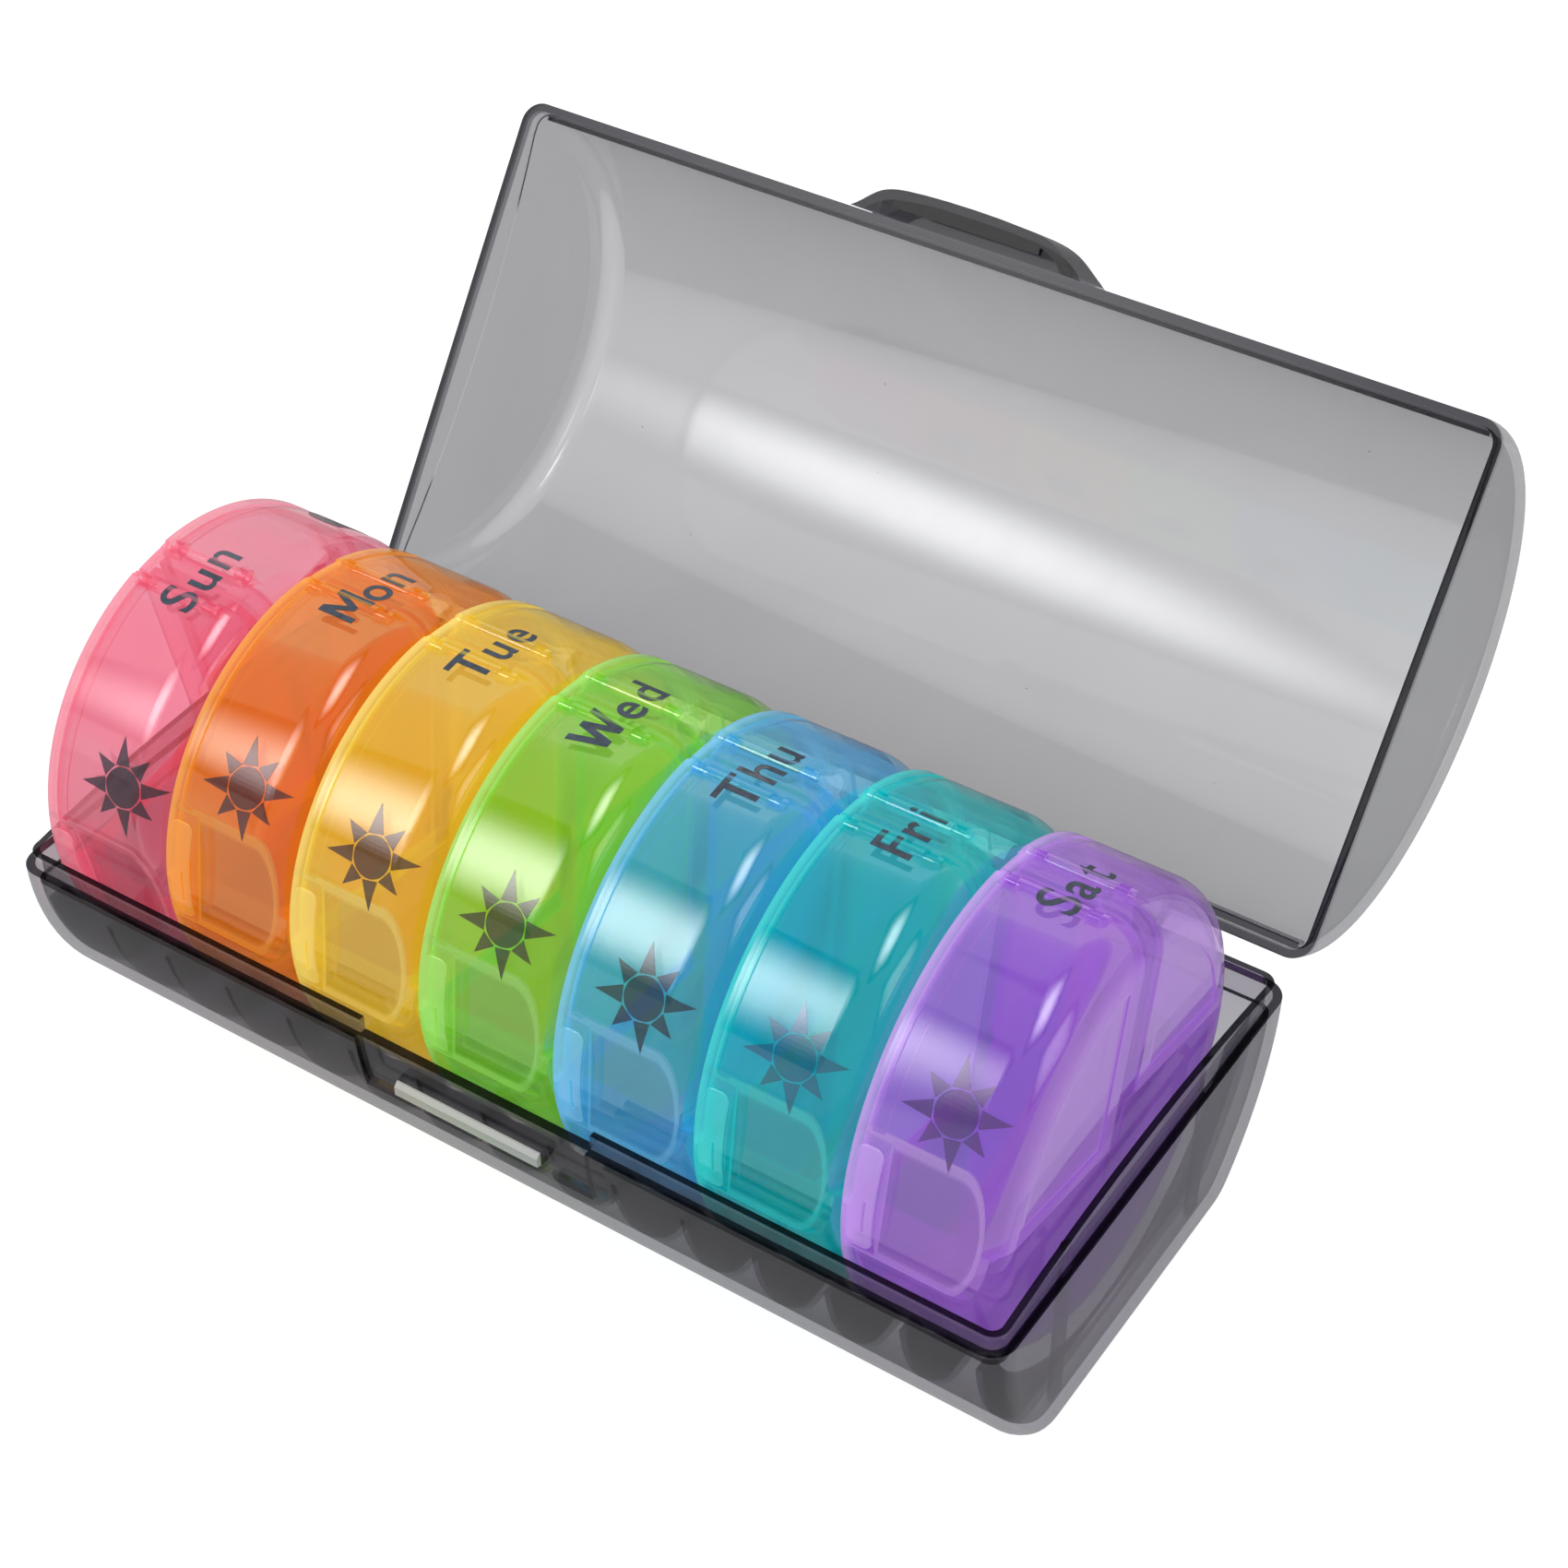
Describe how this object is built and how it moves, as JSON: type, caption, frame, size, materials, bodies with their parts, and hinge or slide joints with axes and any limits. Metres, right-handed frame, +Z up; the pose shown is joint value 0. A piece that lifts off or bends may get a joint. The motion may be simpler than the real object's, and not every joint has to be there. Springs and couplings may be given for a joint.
{
  "type": "travel pill organizer",
  "caption": "Round day pods with two hinged morning and evening compartments each, lifted out of a long half-round hinged travel case with a snap latch.",
  "frame": {"origin": "centre of the case's flat underside", "axes": "+X along the row of days towards the last day, -Y to the latch side, +Z up"},
  "size_m": [0.205, 0.1846, 0.1296],
  "materials": {
    "smoke_plastic": "smoke translucent, polished",
    "pin_steel": "drawn wire",
    "print_ink": "pad printed ink",
    "pink_red_plastic": "translucent, polished",
    "orange_plastic": "translucent, polished",
    "yellow_plastic": "translucent, polished",
    "green_plastic": "translucent, polished",
    "light_blue_plastic": "translucent, polished",
    "teal_plastic": "translucent, polished",
    "purple_plastic": "translucent, polished"
  },
  "bodies": {
    "base": {"case_base": "smoke_plastic", "hinge_pin_left": "pin_steel", "hinge_pin_right": "pin_steel"},
    "lid": {"case_lid": "smoke_plastic"},
    "pod_sun": {"pod_body_sun": "pink_red_plastic"},
    "am_sun": {"am_lid_sun": "pink_red_plastic"},
    "pm_sun": {"pm_lid_sun": "pink_red_plastic"},
    "pod_mon": {"pod_body_mon": "orange_plastic"},
    "am_mon": {"am_lid_mon": "orange_plastic"},
    "pm_mon": {"pm_lid_mon": "orange_plastic"},
    "pod_tue": {"pod_body_tue": "yellow_plastic"},
    "am_tue": {"am_lid_tue": "yellow_plastic"},
    "pm_tue": {"pm_lid_tue": "yellow_plastic"},
    "pod_wed": {"pod_body_wed": "green_plastic"},
    "am_wed": {"am_lid_wed": "green_plastic"},
    "pm_wed": {"pm_lid_wed": "green_plastic"},
    "pod_thu": {"pod_body_thu": "light_blue_plastic"},
    "am_thu": {"am_lid_thu": "light_blue_plastic"},
    "pm_thu": {"pm_lid_thu": "light_blue_plastic"},
    "pod_fri": {"pod_body_fri": "teal_plastic"},
    "am_fri": {"am_lid_fri": "teal_plastic"},
    "pm_fri": {"pm_lid_fri": "teal_plastic"},
    "pod_sat": {"pod_body_sat": "purple_plastic"},
    "am_sat": {"am_lid_sat": "purple_plastic"},
    "pm_sat": {"pm_lid_sat": "purple_plastic"}
  },
  "joints": [
    {"name": "case_lid_hinge", "type": "hinge", "parent": "base", "child": "lid", "pos_m": [0, 0.052, 0.037], "axis": [-1, 0, 0], "range_deg": [-124.8, 0]},
    {"name": "pod_sun_lift", "type": "slide", "parent": "base", "child": "pod_sun", "axis": [0, 0, 1], "range_m": [0, 0.06]},
    {"name": "am_sun_hinge", "type": "hinge", "parent": "pod_sun", "child": "am_sun", "pos_m": [-0.0834, -0.01509, 0.0841], "axis": [-1, 0, 0], "range_deg": [0, 100]},
    {"name": "pm_sun_hinge", "type": "hinge", "parent": "pod_sun", "child": "pm_sun", "pos_m": [-0.0834, -0.00625, 0.08582], "axis": [1, 0, 0], "range_deg": [0, 100]},
    {"name": "pod_mon_lift", "type": "slide", "parent": "base", "child": "pod_mon", "axis": [0, 0, 1], "range_m": [0, 0.06]},
    {"name": "am_mon_hinge", "type": "hinge", "parent": "pod_mon", "child": "am_mon", "pos_m": [-0.0556, -0.00186, 0.08593], "axis": [-1, 0, 0], "range_deg": [0, 100]},
    {"name": "pm_mon_hinge", "type": "hinge", "parent": "pod_mon", "child": "pm_mon", "pos_m": [-0.0556, 0.00705, 0.08468], "axis": [1, 0, 0], "range_deg": [0, 100]},
    {"name": "pod_tue_lift", "type": "slide", "parent": "base", "child": "pod_tue", "axis": [0, 0, 1], "range_m": [0, 0.06]},
    {"name": "am_tue_hinge", "type": "hinge", "parent": "pod_tue", "child": "am_tue", "pos_m": [-0.0278, -0.00327, 0.08595], "axis": [-1, 0, 0], "range_deg": [0, 100]},
    {"name": "pm_tue_hinge", "type": "hinge", "parent": "pod_tue", "child": "pm_tue", "pos_m": [-0.0278, 0.00568, 0.08501], "axis": [1, 0, 0], "range_deg": [0, 100]},
    {"name": "pod_wed_lift", "type": "slide", "parent": "base", "child": "pod_wed", "axis": [0, 0, 1], "range_m": [0, 0.06]},
    {"name": "am_wed_hinge", "type": "hinge", "parent": "pod_wed", "child": "am_wed", "pos_m": [0, -0.00398, 0.08594], "axis": [-1, 0, 0], "range_deg": [0, 100]},
    {"name": "pm_wed_hinge", "type": "hinge", "parent": "pod_wed", "child": "pm_wed", "pos_m": [0, 0.00499, 0.08515], "axis": [1, 0, 0], "range_deg": [0, 100]},
    {"name": "pod_thu_lift", "type": "slide", "parent": "base", "child": "pod_thu", "axis": [0, 0, 1], "range_m": [0, 0.06]},
    {"name": "am_thu_hinge", "type": "hinge", "parent": "pod_thu", "child": "am_thu", "pos_m": [0.0278, -0.00504, 0.0859], "axis": [-1, 0, 0], "range_deg": [0, 100]},
    {"name": "pm_thu_hinge", "type": "hinge", "parent": "pod_thu", "child": "pm_thu", "pos_m": [0.0278, 0.00395, 0.08535], "axis": [1, 0, 0], "range_deg": [0, 100]},
    {"name": "pod_fri_lift", "type": "slide", "parent": "base", "child": "pod_fri", "axis": [0, 0, 1], "range_m": [0, 0.06]},
    {"name": "am_fri_hinge", "type": "hinge", "parent": "pod_fri", "child": "am_fri", "pos_m": [0.0556, -0.00327, 0.08595], "axis": [-1, 0, 0], "range_deg": [0, 100]},
    {"name": "pm_fri_hinge", "type": "hinge", "parent": "pod_fri", "child": "pm_fri", "pos_m": [0.0556, 0.00568, 0.08501], "axis": [1, 0, 0], "range_deg": [0, 100]},
    {"name": "pod_sat_lift", "type": "slide", "parent": "base", "child": "pod_sat", "axis": [0, 0, 1], "range_m": [0, 0.06]},
    {"name": "am_sat_hinge", "type": "hinge", "parent": "pod_sat", "child": "am_sat", "pos_m": [0.0834, -0.00045, 0.08587], "axis": [-1, 0, 0], "range_deg": [0, 100]},
    {"name": "pm_sat_hinge", "type": "hinge", "parent": "pod_sat", "child": "pm_sat", "pos_m": [0.0834, 0.00841, 0.08431], "axis": [1, 0, 0], "range_deg": [0, 100]}
  ]
}
